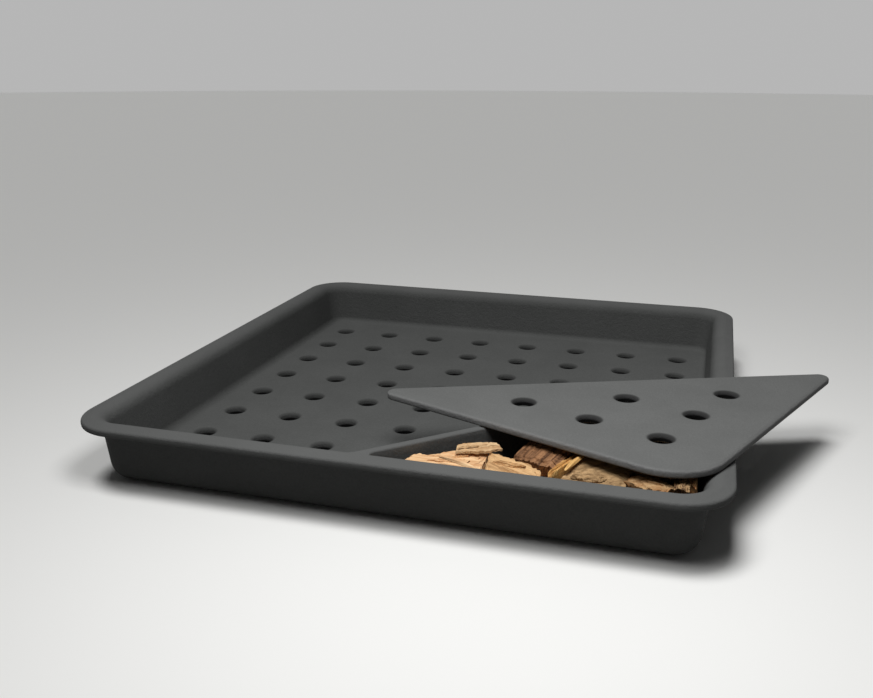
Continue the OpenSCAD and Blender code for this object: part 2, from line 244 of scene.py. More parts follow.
class Shell:
    """Collects grids of points and their faces, which become one mesh."""

    def __init__(self):
        self.points, self.faces, self.count = [], [], 0

    def add(self, points):
        """Keeps an array of points whose last axis is x, y, z, and returns the numbers that they get."""
        flat = np.asarray(points, float)
        index = np.arange(flat[..., 0].size).reshape(flat.shape[:-1]) + self.count
        self.points.append(flat.reshape(-1, 3))
        self.count += index.size
        return index

    def weave(self, index, loop=False):
        """Quads between neighbours of a grid of point numbers (..., rows, columns); loop joins the last
        column to the first."""
        if loop:
            index = np.concatenate([index, index[..., :1]], -1)
        row, after = index[..., :-1, :], index[..., 1:, :]
        quads = np.stack([row[..., :-1], after[..., :-1], after[..., 1:], row[..., 1:]], -1)
        self.faces += quads.reshape(-1, 4).tolist()

    def fill(self, loops):
        """Triangles between an outer loop of point numbers and the loops of its holes."""
        points = np.concatenate(self.points)
        numbers = np.concatenate(loops)
        triangles = tessellate_polygon([[Vector(p) for p in points[loop]] for loop in loops])
        self.faces += numbers[np.array(triangles)].tolist()

    def fan(self, loop):
        """Triangles from a loop of point numbers to its middle."""
        middle = self.add(np.concatenate(self.points)[loop].mean(0)[None])[0]
        after = np.roll(loop, -1)
        self.faces += np.stack([loop, after, np.full_like(loop, middle)], -1).tolist()

    def tube(self, points):
        """Quads round rows of points (rows, columns, xyz), with a fan over the first and the last row."""
        index = self.add(points)
        self.weave(index, loop=True)
        self.fan(index[0])
        self.fan(index[-1])

    def mesh(self, name, weld=WELD):
        """One closed mesh: points closer than weld are merged and all faces turned outwards."""
        made = bpy.data.meshes.new(name)
        made.from_pydata(np.concatenate(self.points), [], self.faces)
        work = bmesh.new()
        work.from_mesh(made)
        bmesh.ops.remove_doubles(work, verts=work.verts, dist=weld)
        bmesh.ops.dissolve_degenerate(work, edges=work.edges, dist=weld / 2)
        bmesh.ops.recalc_face_normals(work, faces=work.faces)
        work.to_mesh(made)
        work.free()
        return made


def spokes(angle):
    """Unit directions in a plane at angles in radians."""
    return np.stack([np.cos(angle), np.sin(angle)], -1)


def arc(x, z, r, start, end, steps):
    """Points on a circle with its middle at x, z, from one angle to another in degrees, both ends kept."""
    return np.array((x, z)) + r * spokes(np.radians(np.linspace(start, end, steps + 1)))


def turned(x, y, angle):
    """Plan coordinates turned about the origin by an angle in radians."""
    c, s = math.cos(angle), math.sin(angle)
    return c * x - s * y, s * x + c * y


def raised(plan, z):
    """Points of plan coordinates (..., xy) and heights that are spread over them."""
    return np.concatenate([plan, np.broadcast_to(z, plan.shape[:-1] + (1,))], -1)


def ease(x):
    """Smooth step from 0 to 1."""
    x = np.clip(x, 0.0, 1.0)
    return x * x * (3 - 2 * x)


def positions(mesh):
    """All points of a mesh as an array."""
    co = np.empty(len(mesh.vertices) * 3, np.float32)
    mesh.vertices.foreach_get("co", co)
    return co.reshape(-1, 3).astype(float)


def mark(mesh, name, values):
    """Keeps one number or one vector a point as a named attribute that the materials read."""
    kind, key = ("FLOAT", "value") if values.ndim == 1 else ("FLOAT_VECTOR", "vector")
    attribute = mesh.attributes.new(name, kind, "POINT")
    attribute.data.foreach_set(key, values.astype(np.float32).ravel())


def smooth(mesh, degrees):
    """Shades a mesh smooth, with sharp edges where faces meet at more than an angle."""
    mesh.shade_smooth()
    mesh.set_sharp_from_angle(angle=math.radians(degrees))


def place(name, data):
    """Puts an object of this data into the scene."""
    made = bpy.data.objects.new(name, data)
    bpy.context.scene.collection.objects.link(made)
    return made


def show(mesh, look, body, slot, *nodes):
    """Puts a finished mesh into the scene as the piece that stands for CAD nodes and rides on a body."""
    piece = place(mesh.name, mesh)
    piece.data.materials.clear()
    piece.data.materials.append(look)
    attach(piece, body)
    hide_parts(*nodes)


# Tray


# Width of the flat bands beside roundings, which keep the shading of the flat faces even
FLAT_BAND = 0.0006

# Points along a side of a floor cell, and round a corner of the tray
CELL_STEPS = 10
CORNER_STEPS = 12

# The divider's faces stay this far off the tray's, so that no two lie in one plane, and its foot goes this
# deep into the floor
DIVIDER_BITE = 0.00003
DIVIDER_ROOT = 0.001

# Heights of the rows on the divider's side, in shares of the height of the lip's underside
DIVIDER_ROWS = (0.4, 0.6, 0.8, 1.0, 1.06)

# Points along a buried end, a flare and the straight run of the divider
FADE_STEPS = 6
FLARE_STEPS = 18
RUN_STEPS = 80

# How far a section may reach in a flare, as a share of the flare's radius and of the way out of the flare
FLARE_REACH = 0.8
FLARE_OPENING = 0.5

# How far the ends of the divider lie outwards from the middle of the wall
END_DEPTH = 0.0009

# Depths between which the side of a vent hole is painted black as shade, how far the painted shade takes to
# rise on the rounded edge, and over which height it fades above the lower face
HOLE_SHADE_DEPTHS = (0.0026, 0.0036)
HOLE_SHADE_RISE = 0.0018
HOLE_SHADE_FOOT = 0.0006

# Share of painted shade on the rounded edges of the tray's holes
TRAY_EDGE_SHADE = 0.3

# Painted highlight and rubbing of the tray: its share along the rim's top, how far below the crest it starts
# and over which height it rises; and its share on the heel, the height of its middle and its reach to both
# sides
TOP_RUB_AND_SHEEN = 0.18
TOP_RUB_AND_SHEEN_START = 0.0045
TOP_RUB_AND_SHEEN_RISE = 0.0035
HEEL_RUB_AND_SHEEN = 0.1
HEEL_RUB_AND_SHEEN_AT = 0.002
HEEL_RUB_AND_SHEEN_REACH = 0.0025

# Angle in degrees from which edges of the castings are shaded sharp
IRON_SHARP = 32


class TrayForm:
    """Measures of the tray that follow from its sizes. A distance s is counted inwards from the rim's outer
    edge, a distance d outwards from the core rectangle of the floor."""

    def __init__(self, p):
        self.p = p
        self.slope, self.level = math.tan(p.draft), 1 / math.cos(p.draft)
        self.degrees = math.degrees(p.draft)
        self.roll_at = self.wall_in(p.height - p.roll) - p.roll * self.level
        self.lip_top = p.height - (self.roll_at - p.crest - p.lip_edge) * math.tan(p.lip_fall)
        self.under = self.lip_top - p.lip
        self.fillet_z = p.floor + p.fillet
        self.flat_at = self.wall_in(self.fillet_z) + p.fillet * self.level
        self.core_at = self.flat_at + p.inside
        self.core_x, self.core_y = p.width / 2 - self.core_at, p.depth / 2 - self.core_at

    def wall_out(self, z):
        """Distance s of the outer wall at a height."""
        return self.p.lip_out + (self.p.height - z) * self.slope

    def wall_in(self, z):
        """Distance s of the inner wall at a height."""
        return self.wall_out(z) + self.p.wall * self.level

    def wall_middle(self, z):
        """Distance s of a surface inside the metal: half way through the wall, and up to the crest in the
        rim."""
        in_wall = self.wall_in(z) - self.p.wall / 2
        top, foot = self.roll_at - self.p.crest / 2, self.wall_in(self.under) - self.p.wall / 2
        in_rim = foot + (z - self.under) / (self.p.height - self.under) * (top - foot)
        return np.where(z > self.under, in_rim, in_wall)

    def section(self):
        """Section of the tray as points (d, z): along the floor, up a fillet and the drafted wall, over the
        inner roll and the crest, down the sloping lip and round its edge, back under it and down the outer
        wall, round the heel and back along the base. Every rounding is a circle that touches its two
        neighbours."""
        p, a, core = self.p, self.degrees, self.core_at
        lip_at, fall = core - p.lip_edge, math.degrees(p.lip_fall)
        heel_at = core - self.wall_out(p.heel) - p.heel * self.level
        pit_z = self.under - p.armpit
        pit_at = core - self.wall_out(pit_z) + p.armpit * self.level
        parts = [
            [(0, p.floor), (p.inside - FLAT_BAND, p.floor)],
            arc(p.inside, self.fillet_z, p.fillet, -90, -a, 10),
            arc(core - self.roll_at, p.height - p.roll, p.roll, 180 - a, 90, 18),
            np.linspace((core - self.roll_at + p.crest, p.height), (lip_at, self.lip_top), 5)[:-1],
            arc(lip_at, self.lip_top - p.lip_edge / math.cos(p.lip_fall), p.lip_edge, 90 - fall, 0, 7),
            arc(lip_at, self.under + p.lip_edge, p.lip_edge, 0, -90, 7),
            [(pit_at + FLAT_BAND, self.under)],
            arc(pit_at, pit_z, p.armpit, 90, 180 - a, 6),
            arc(heel_at, p.heel, p.heel, -a, -90, 12),
            [(heel_at - FLAT_BAND, 0), (0, 0)],
        ]
        return np.concatenate([np.array(part, float) for part in parts])

    def holes(self, divider):
        """Middles of the pattern's cells, and which of them have a vent hole: those far enough from the walls
        and from the divider's foot."""
        p = self.p
        n = (np.arange(p.count) - (p.count - 1) / 2) * p.pitch
        x, y = [g.ravel() for g in np.meshgrid(p.shift_x + n, p.shift_y + n, indexing="ij")]
        to_wall = np.minimum(p.width / 2 - self.flat_at - abs(x), p.depth / 2 - self.flat_at - abs(y))
        line = (p.width + p.depth) / 2 - divider.reach
        half = divider.thick / 2 + (p.height - self.fillet_z) * math.tan(divider.draft)
        to_divider = (line - (x - y)) / ROOT2 - half - p.fillet / math.cos(divider.draft)
        return np.stack([x, y], -1), np.minimum(to_wall, to_divider) >= p.margin


def hole_section(radius, tray, top, base):
    """Section of a vent hole as points (radius, z) from the upper face to the lower one: a flat band, a
    rounding, the side that narrows downwards and a small rounding. The radius is that of the side drawn on to
    the top. Two rings on the side lie at the depths that the painted shade of the hole is counted from."""
    upper, lower, a = tray.hole_round, tray.hole_under, math.degrees(tray.hole_taper)
    run, level = math.tan(tray.hole_taper), 1 / math.cos(tray.hole_taper)
    wide = radius - upper * run + upper * level
    narrow = radius - (top - base - lower) * run + lower * level
    return np.concatenate([
        [(wide + FLAT_BAND, top)],
        arc(wide, top - upper, upper, 90, 180 - a, 6),
        [(radius - z * run, top - z) for z in HOLE_SHADE_DEPTHS],
        arc(narrow, base + lower, lower, 180 - a, 270, 4),
        [(narrow + FLAT_BAND, base)],
    ])


def add_walls(shell, form, grid_x, grid_y):
    """Adds the rim, the walls and the edge of the floor: the section is carried round the core rectangle. A
    point is the path's point on that rectangle plus d times the direction outwards, at height z."""
    t = np.arange(CELL_STEPS) / CELL_STEPS

    def along(g):
        return np.append((g[:-1, None] + (g[1:] - g[:-1])[:, None] * t).ravel(), g[-1])

    ax, ay = along(grid_x), along(grid_y)
    sides = ((ax, -form.core_y), (form.core_x, ay), (ax[::-1], form.core_y), (-form.core_x, ay[::-1]))
    base, turn = [], []
    for k, (x, y) in enumerate(sides):
        side = np.stack(np.broadcast_arrays(x, y), -1)
        base += [side, np.repeat(side[-1:], CORNER_STEPS - 1, 0)]
        start = -HALF_PI + k * HALF_PI
        turn += [np.full(len(side), start), start + HALF_PI * np.arange(1, CORNER_STEPS) / CORNER_STEPS]
    base, out = np.concatenate(base), spokes(np.concatenate(turn))
    section = form.section()
    shell.weave(shell.add(raised(base + section[:, None, :1] * out, section[:, None, 1:])), loop=True)


def tray_shell(form, divider):
    """Tray without its divider: the walls, and inside the core rectangle the floor, which is a chequer of
    cells, each a set of rings that run from the cell's square border to the round hole."""
    p, shell = form.p, Shell()
    n = (np.arange(1, p.count) - p.count / 2) * p.pitch
    grid_x = np.concatenate([[-form.core_x], p.shift_x + n, [form.core_x]])
    grid_y = np.concatenate([[-form.core_y], p.shift_y + n, [form.core_y]])
    add_walls(shell, form, grid_x, grid_y)

    middle, holed = form.holes(divider)
    x0, y0 = [g.ravel()[:, None] for g in np.meshgrid(grid_x[:-1], grid_y[:-1], indexing="ij")]
    x1, y1 = [g.ravel()[:, None] for g in np.meshgrid(grid_x[1:], grid_y[1:], indexing="ij")]
    t, one = np.arange(CELL_STEPS) / CELL_STEPS, np.ones(CELL_STEPS)
    border = np.stack([
        np.concatenate([x0 + (x1 - x0) * t, x1 * one, x1 - (x1 - x0) * t, x0 * one], -1),
        np.concatenate([y0 * one, y0 + (y1 - y0) * t, y1 * one, y1 - (y1 - y0) * t], -1)], -1)
    steps = 4 * CELL_STEPS
    out = spokes(np.radians(-135) + np.arange(steps) / steps * 2 * math.pi)

    def rings(cells, section, *border_heights):
        around = raised(middle[cells][:, None, None] + section[:, None, :1] * out, section[:, None, 1:])
        edges = [raised(border[cells], z)[:, None] for z in border_heights]
        shell.weave(shell.add(np.concatenate([edges[0], around, *edges[1:]], 1)), loop=True)

    rings(holed, hole_section(p.hole / 2, p, p.floor, 0.0), p.floor, 0.0)
    for z in (p.floor, 0.0):
        rings(~holed, np.array([(p.hole / 2 + p.hole_round, z), (0.0, z)]), z)
    return shell


def divider_section(form, d):
    """Section of one side of the divider as points (distance from its path, z): a filleted foot, the drafted
    side, a rounded edge and the start of the flat top."""
    p, half, run, level = form.p, d.thick / 2, math.tan(d.draft), 1 / math.cos(d.draft)
    a = math.degrees(d.draft)
    edge_z = p.height - DIVIDER_BITE - d.edge
    edge_at = half + (p.height - edge_z) * run - d.edge * level
    foot = half + (p.height - form.fillet_z) * run + p.fillet * level
    rows = np.array(DIVIDER_ROWS) * form.under
    return np.concatenate([
        [(foot, p.floor - DIVIDER_ROOT)],
        arc(foot, form.fillet_z - DIVIDER_BITE, p.fillet, 270, 180 + a, 10),
        np.stack([half + (p.height - rows) * run, rows], -1),
        arc(edge_at, edge_z, d.edge, a, 90, 6),
        [(edge_at - FLAT_BAND, p.height - DIVIDER_BITE)],
    ]) - [half, 0]


def divider_side(form, d, r, sign, profile):
    """Points (u, v, z) of one side of the divider in its own frame, u along it and v towards the charcoal: a
    path along the crest, round a flare of radius r and straight along the divider, the same at the other end.
    Every point of the path carries the profile along its normal. In a flare the distance is limited, so that
    the profile never passes the flare's middle."""
    wall, inward, flip = np.array([-1.0, 1.0]) / ROOT2, np.array([1.0, 1.0]) / ROOT2, np.array([-1.0, 1.0])
    v = sign * (d.thick / 2 + r)
    u = ROOT2 * (form.roll_at + r - d.reach / 2) - v
    centre = np.array([u, v])
    ring = spokes(np.radians(np.linspace(225.0, 270.0 if sign > 0 else 90.0, FLARE_STEPS)))
    fade = np.linspace(1.0, 0.0, FADE_STEPS, endpoint=False) * d.fade
    run = centre - r * inward + sign * wall * fade[:, None]
    end = np.concatenate([run, centre + r * ring])
    straight = np.linspace(end[-1], end[-1] * flip, RUN_STEPS)[1:-1]
    points = np.concatenate([end, straight, end[::-1] * flip])
    turn = np.concatenate([np.repeat(inward[None], FADE_STEPS, 0), -ring])
    across = np.repeat([[0.0, float(sign)]], len(straight), 0)
    normals = np.concatenate([turn, across, turn[::-1] * flip])
    limit = FLARE_REACH * r + FLARE_OPENING * np.maximum(-u - abs(points[:, 0]), 0)
    reach = np.minimum(profile[:, :1], limit[:, None, None])
    return raised(points[:, None] + reach * normals[:, None], profile[:, 1:])


def divider_shell(form, d):
    """Divider with its flares: its two sides, with the flat top between their edges. Points that would leave
    the tray's wall are held inside its metal."""
    p, shell = form.p, Shell()
    section = divider_section(form, d)
    sides = [divider_side(form, d, d.flare, 1, section), divider_side(form, d, d.tip, -1, section[::-1])]
    u, v, z = np.moveaxis(np.concatenate(sides, 1), -1, 0)
    x = p.width / 2 - d.reach / 2 + (u - v) / ROOT2
    y = -p.depth / 2 + d.reach / 2 + (u + v) / ROOT2
    row = np.arange(len(z))
    near_end = np.clip(1 - np.minimum(row, row[::-1]) / (FADE_STEPS + FLARE_STEPS), 0, 1)[:, None]
    in_rim = ease((z - form.under) / (p.height - form.under))
    held = form.wall_middle(z) - END_DEPTH * near_end * (1 - in_rim)
    front = row[:, None] < len(z) / 2
    y = np.where(front, np.maximum(y, -p.depth / 2 + held), y)
    x = np.where(front, x, np.minimum(x, p.width / 2 - held))
    index = shell.add(np.stack([x, y, z], -1))
    shell.weave(index, loop=True)
    for end in (index[0], index[-1]):
        shell.weave(np.stack([end[:len(section)], end[:len(section) - 1:-1]], -1))
    return shell


def joined(name, first, second):
    """One mesh of two closed meshes that reach into each other."""
    a, b = place(name, first), place(name + "_second", second)
    union = a.modifiers.new("Join", "BOOLEAN")
    union.operation, union.solver, union.object = "UNION", "MANIFOLD", b
    bpy.context.view_layer.update()
    made = bpy.data.meshes.new_from_object(a.evaluated_get(bpy.context.evaluated_depsgraph_get()))
    for o in (a, b):
        bpy.data.objects.remove(o)
    if len(made.vertices) < len(first.vertices) / 2:
        raise RuntimeError("the divider could not be joined to the tray")
    made.name = name
    return made


def painted_hole_shade(mesh, middles, radius, base, top, edge, depths):
    """Share of painted shade a point, black that stands in for the unlit depths of a vent hole: at most the
    share of edge on the rounded upper edge, a rise to all of it between two depths, and none on the lower
    face."""
    co = positions(mesh)
    inwards = radius - np.linalg.norm(co[:, None, :2] - middles[None], axis=-1).min(1)
    thin = edge * ease(inwards / HOLE_SHADE_RISE)
    thick = ease((top - co[:, 2] - depths[0]) / (depths[1] - depths[0]))
    return (inwards > 0) * np.maximum(thin, thick) * ease((co[:, 2] - base) / HOLE_SHADE_FOOT)


def tray_rub_and_sheen(form, mesh):
    """Rubbing and painted highlight a point: some on the lip, the crest and the divider's top, and along the
    heel.
    """
    z = positions(mesh)[:, 2]
    top = TOP_RUB_AND_SHEEN * ease((z - (form.p.height - TOP_RUB_AND_SHEEN_START)) / TOP_RUB_AND_SHEEN_RISE)
    return np.maximum(top, HEEL_RUB_AND_SHEEN * ease(1 - abs(z - HEEL_RUB_AND_SHEEN_AT) / HEEL_RUB_AND_SHEEN_REACH))


# Lid


# Points round a corner of the lid, and round a hole
LID_ARC_STEPS = 24
LID_HOLE_STEPS = 48

# Angle in degrees between a short side and the long side
LID_POINT = 45

# Share of painted shade on the rounded edges of the holes, and the depth where it starts to rise
LID_EDGE_SHADE = 0.8
LID_SHADE_START = 0.0002

# Share of rubbing and painted highlight on the edge faces, and the distance from the two flat faces over
# which it rises
LID_RUB_AND_SHEEN = 0.7
LID_RUB_AND_SHEEN_RISE = 0.0008


def lid_shell(q, p):
    """Lid in the flat, then turned into its place. The outline is three corner arcs joined by straight sides;
    a distance o inwards shortens each arc's radius by o, so that the whole edge section (o, z) runs parallel
    to the outline. The upper and lower faces are filled between the outline and the rings of the holes. The
    holes' middles are returned too."""
    shell = Shell()
    leg = p.divider.reach - 2 * q.inset + q.overlap * ROOT2
    run = q.tip / math.tan(math.radians(LID_POINT / 2))
    middles, radii, starts, ends = zip(
        ((-q.corner, q.corner), q.corner, -90, 0),
        ((-q.tip, leg - run), q.tip, 0, 135),
        ((-leg + run, q.tip), q.tip, 135, 270))
    count = LID_ARC_STEPS + 1
    middle, radius = np.repeat(middles, count, 0), np.repeat(radii, count)
    out = spokes(np.radians(np.linspace(starts, ends, count, axis=1).ravel()))
    edge = np.concatenate([
        [(q.edge + FLAT_BAND, q.thick)],
        arc(q.edge, q.thick - q.edge, q.edge, 90, 180, 6),
        arc(q.under, q.under, q.under, 180, 270, 4),
        [(q.under + FLAT_BAND, 0.0)],
    ])

    def set_down(flat, z):
        """Turns the lid about its corner hole and shifts it from the closed place."""
        x, y = turned(flat[..., 0] + q.hole_inset, flat[..., 1] - q.hole_inset, q.turn)
        hole_x = p.tray.width / 2 - q.inset - q.hole_inset + q.shift_x
        hole_y = -p.tray.depth / 2 + q.inset + q.hole_inset + q.shift_y
        return np.stack([hole_x + x, hole_y + y, np.broadcast_to(LID_LOW.z + z, x.shape)], -1)

    outline = middle + (radius - edge[:, :1])[..., None] * out
    rim = shell.add(set_down(outline, edge[:, 1:]))
    shell.weave(rim, loop=True)
    section = hole_section(q.hole / 2, p.tray, q.thick, 0.0)
    ring = section[:, None, :1] * spokes(np.arange(LID_HOLE_STEPS) / LID_HOLE_STEPS * 2 * math.pi)
    upper, lower, holes = [rim[0]], [rim[-1]], []
    for i in range(q.rows):
        for j in range(q.rows - i):
            at = np.array([-q.hole_inset - i * q.pitch, q.hole_inset + j * q.pitch])
            index = shell.add(set_down(ring + at, section[:, 1:]))
            shell.weave(index, loop=True)
            upper.append(index[0])
            lower.append(index[-1])
            holes.append(set_down(at, 0.0)[:2])
    shell.fill(upper)
    shell.fill(lower)
    return shell, np.array(holes)


def lid_rub_and_sheen(mesh):
    """Rubbing and painted highlight a point: some on the edge faces, and none on the upper and the lower
    face.
    """
    z = positions(mesh)[:, 2]
    return LID_RUB_AND_SHEEN * ease((LID_HIGH.z - z) / LID_RUB_AND_SHEEN_RISE) * ease((z - LID_LOW.z) / LID_RUB_AND_SHEEN_RISE)


# Wood chips


FLAKE = ((-0.5, -0.32), (-0.38, 0.36), (0.05, 0.5), (0.46, 0.38), (0.5, -0.28), (0.1, -0.5))
SPLIT = ((-0.5, -0.5), (-0.42, 0.02), (-0.1, 0.42), (0.5, 0.5), (0.5, -0.1), (0.02, -0.5))
BLOCK = ((-0.5, -0.46), (-0.46, 0.5), (0.5, 0.44), (0.46, -0.5))
WEDGE = ((-0.5, -0.13), (-0.32, 0.2), (0.13, 0.49), (0.5, 0.5), (0.4, -0.5), (-0.04, -0.41))
SHARD = ((-0.5, 0.5), (-0.1, 0.49), (0.36, 0.44), (0.5, -0.04), (-0.26, -0.5))

# Name, wood, outline, distance from the right and from the front edge of the rim, turn, length and width, all
# lengths in shares of the pocket's reach. A row may go on with a tilt about the length, a tilt about the
# width, a turn of the grain and a number of shards. Angles are in degrees.
CHIPS = (
    ("chip_long", "pale", WEDGE, 0.745, 0.136, 14, 0.236, 0.115, 8, -1, -4, 3),
    ("chip_small", "cream", FLAKE, 0.666, 0.208, 28, 0.116, 0.056, 4, 2, 5, 1),
    ("chip_broad", "tan", SHARD, 0.558, 0.13, -18, 0.177, 0.111, 14, 2, -8, 3),
    ("chip_end_grain", "brown", BLOCK, 0.491, 0.246, -17, 0.122, 0.086, 16, -2, 80),
    ("chip_sliver", "yellow", SPLIT, 0.429, 0.185, 70, 0.188, 0.025, 0, 3),
    ("chip_grey", "grey", FLAKE, 0.339, 0.175, -10, 0.147, 0.157, 8, 3, 40, 2),
    ("chip_tan", "ringed", FLAKE, 0.205, 0.142, -35, 0.111, 0.071, 6, -3, 70, 1),
    ("chip_striped", "striped", BLOCK, 0.128, 0.144, 90, 0.076, 0.034, 0, 2),
    ("chip_orange", "orange", FLAKE, 0.1, 0.172, 90, 0.06, 0.019, 0, 2),
    ("chip_covered_front", "tan", SPLIT, 0.347, 0.37, -40, 0.192, 0.101, 3, 2),
    ("chip_covered_right", "pale", BLOCK, 0.159, 0.339, 20, 0.111, 0.081, -3, 2),
    ("chip_covered_back", "grey", FLAKE, 0.215, 0.501, 50, 0.192, 0.091, 3, -2),
    ("chip_middle_1", "pale", SPLIT, 0.666, 0.162, 0, 0.253, 0.091),
    ("chip_middle_2", "tan", BLOCK, 0.433, 0.177, 15, 0.172, 0.122),
    ("chip_middle_3", "pale", FLAKE, 0.208, 0.172, -12, 0.223, 0.111),
    ("chip_middle_4", "grey", BLOCK, 0.484, 0.334, -45, 0.152, 0.101),
    ("chip_middle_5", "tan", FLAKE, 0.281, 0.349, 10, 0.203, 0.111),
    ("chip_middle_6", "brown", BLOCK, 0.132, 0.329, 85, 0.142, 0.061),
    ("chip_middle_7", "pale", BLOCK, 0.195, 0.522, 48, 0.182, 0.101),
    ("chip_lower_1", "tan", SPLIT, 0.6, 0.17, 0, 0.203, 0.091),
    ("chip_lower_2", "pale", BLOCK, 0.387, 0.18, 5, 0.182, 0.101),
    ("chip_lower_3", "grey", FLAKE, 0.2, 0.18, -8, 0.162, 0.101),
    ("chip_lower_4", "pale", FLAKE, 0.448, 0.319, -30, 0.182, 0.101),
    ("chip_lower_5", "brown", BLOCK, 0.246, 0.329, 12, 0.172, 0.091),
    ("chip_lower_6", "tan", SPLIT, 0.2, 0.491, 50, 0.172, 0.101),
    ("chip_lower_7", "pale", BLOCK, 0.132, 0.304, 90, 0.122, 0.035),
)

# Splinters that have come half off their chips: start, bend and end along, across and above the chip, and
# radius, in millimetres
SPLINTERS = {
    "chip_long": (((-1, -3, 11), (9, -10, 14), (21, -17.5, 10.5)), 1.6),
    "chip_sliver": (((-7, -4.5, 8), (3, -5, 11.5), (9, -6, 12)), 1.5),
}

# Rows along a chip, and points across its upper face and up its side
CHIP_ROWS = 96
CHIP_TOP_STEPS = 44
CHIP_SIDE_STEPS = 10

# Layers of random heights, each its weight and its cells in two directions: nicks of the sides, ridges of the
# upper face, the torn lines on it, ridges of the base, and the lengths of the fibres at the ends
NICKS = ((1.0, 11, 2), (0.6, 31, 2))
RIDGES = ((0.55, 3, 15), (0.45, 6, 32))
TEARS = ((0.2, 5, 1), (0.05, 14, 3))
BASE_RIDGES = ((1.0, 3, 12),)
FIBRE_ENDS = ((1.0, 17, 4),)

# Most depth of a nick, as a share of the width and in metres
NICK_SHARE = 0.06
NICK_MOST = 0.0011

# Limits between which the two torn lines lie, the side of each that stays high, and the width of a step, in
# shares of the chip's width
TEAR_LIMITS = (((0.12, 0.45), 1), ((0.5, 0.88), -1))
TEAR_WIDTH = 0.03

# Most lean of the sides, and most slant of the upper face across and along, in shares of the thickness
LEAN = 0.12
SLANT_ACROSS = 0.1
SLANT_ALONG = 0.14

# Height of the upper face before ridges and steps take from it, and the least that they leave, in shares of
# the thickness; how much thinner the ends are, and over which share of the length; ridges of the base as a
# share of those on top
TOP_FULL = 0.99
TOP_LEAST = 0.3
END_THINNER = 0.12
END_THIN_RUN = 0.16
BASE_RELIEF = 0.35

# What a chip gains in length for its torn ends, as a share of a splinter; how unlike the fibres' lengths are;
# the most that a fibre falls short, and the share of the length that it pulls on
END_GAIN = 0.8
END_POWER = 1.5
END_MOST = 0.14
END_RUN = 0.3

# Limits of a shard's length, width and thickness, in shares of the chip's; the share of the width over which
# shards are spread, their most shift along, their height on the chip, and their most turn in radians
SHARD_SIZES = ((0.4, 0.7), (0.16, 0.3), (0.22, 0.34))
SHARD_SPREAD = 0.75
SHARD_SHIFT = 0.14
SHARD_HEIGHT = 0.76
SHARD_TURN = 0.16

# Rows and points round a splinter; its radius at the ends, the depth of its ridges and its flatness, in
# shares of its radius; and its number of ridges
SPLINTER_ROWS = 28
SPLINTER_STEPS = 18
SPLINTER_END = 0.25
SPLINTER_RIDGE = 0.2
SPLINTER_FLAT = 0.55
SPLINTER_RIDGES = 3

# How much thinner a tilted chip is: a share of the rise of its tilt, and at most a share of its node's height
TILT_THINNER = 0.6
TILT_MOST = 0.4

# Angle in degrees from which edges of the chips are shaded sharp
CHIP_SHARP = 38


def uneven(rng, u, v, layers):
    """Random heights over u and v, both from 0 to 1: the sum of layers, each its weight times smooth heights
    from -1 to 1. These are random values at the nodes of a lattice with the layer's cells, eased between the
    four nodes round a point."""
    total = 0.0
    for weight, cells_u, cells_v in layers:
        nodes = rng.uniform(-1, 1, (cells_u + 2, cells_v + 2))
        at_u, at_v = np.clip(u, 0, 1) * cells_u, np.clip(v, 0, 1) * cells_v
        i, j = at_u.astype(int), at_v.astype(int)
        s, t = ease(at_u - i), ease(at_v - j)
        low = nodes[i, j] * (1 - s) + nodes[i + 1, j] * s
        high = nodes[i, j + 1] * (1 - s) + nodes[i + 1, j + 1] * s
        total = total + weight * (low * (1 - t) + high * t)
    return total


def either_way(rng, most, count=None):
    """Random numbers from -most to most."""
    return rng.uniform(-most, most, count)


def chains(outline):
    """Lower and upper chain of a convex outline, each from its leftmost to its rightmost point."""
    points = np.array(outline)
    left, right = points[:, 0].argmin(), points[:, 0].argmax()
    walk = np.roll(points, -left, 0)
    turn = (right - left) % len(points)
    one, other = walk[:turn + 1], np.concatenate([walk[turn:], walk[:1]])[::-1]
    return (one, other) if one[:, 1].mean() < other[:, 1].mean() else (other, one)


